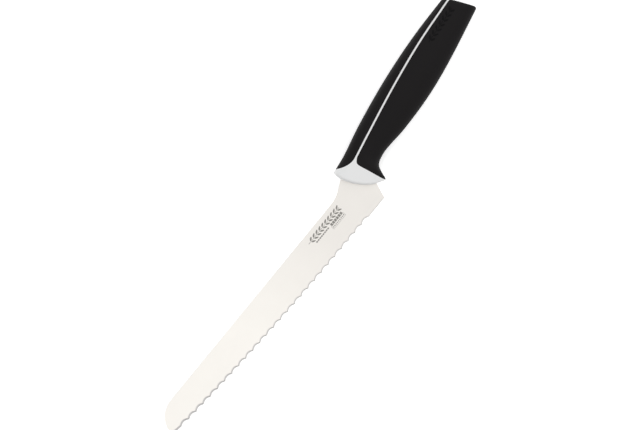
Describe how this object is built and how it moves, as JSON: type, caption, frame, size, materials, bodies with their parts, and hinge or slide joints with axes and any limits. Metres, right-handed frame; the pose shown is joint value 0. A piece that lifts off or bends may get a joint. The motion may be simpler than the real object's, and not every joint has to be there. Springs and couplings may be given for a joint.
{
  "type": "bread knife",
  "caption": "Bread knife with a pointed serrated steel blade, a white collar and a curved black soft-grip handle with a finger guard.",
  "frame": {"origin": "where the blade's back line meets the front of the collar, in the blade's middle plane", "axes": "-X along the blade's back towards the point, +X towards the butt, -Y towards the cutting edge, +Z out of the side that carries the serration's ground hollows"},
  "size_m": [0.3399, 0.0528, 0.0204],
  "materials": {
    "steel": "satin ground",
    "core": "satin white",
    "grip": "matte soft touch"
  },
  "bodies": {
    "root": {"blade": "steel", "handle_core": "core", "back_grip": "grip", "belly_grip": "grip"}
  },
  "joints": []
}
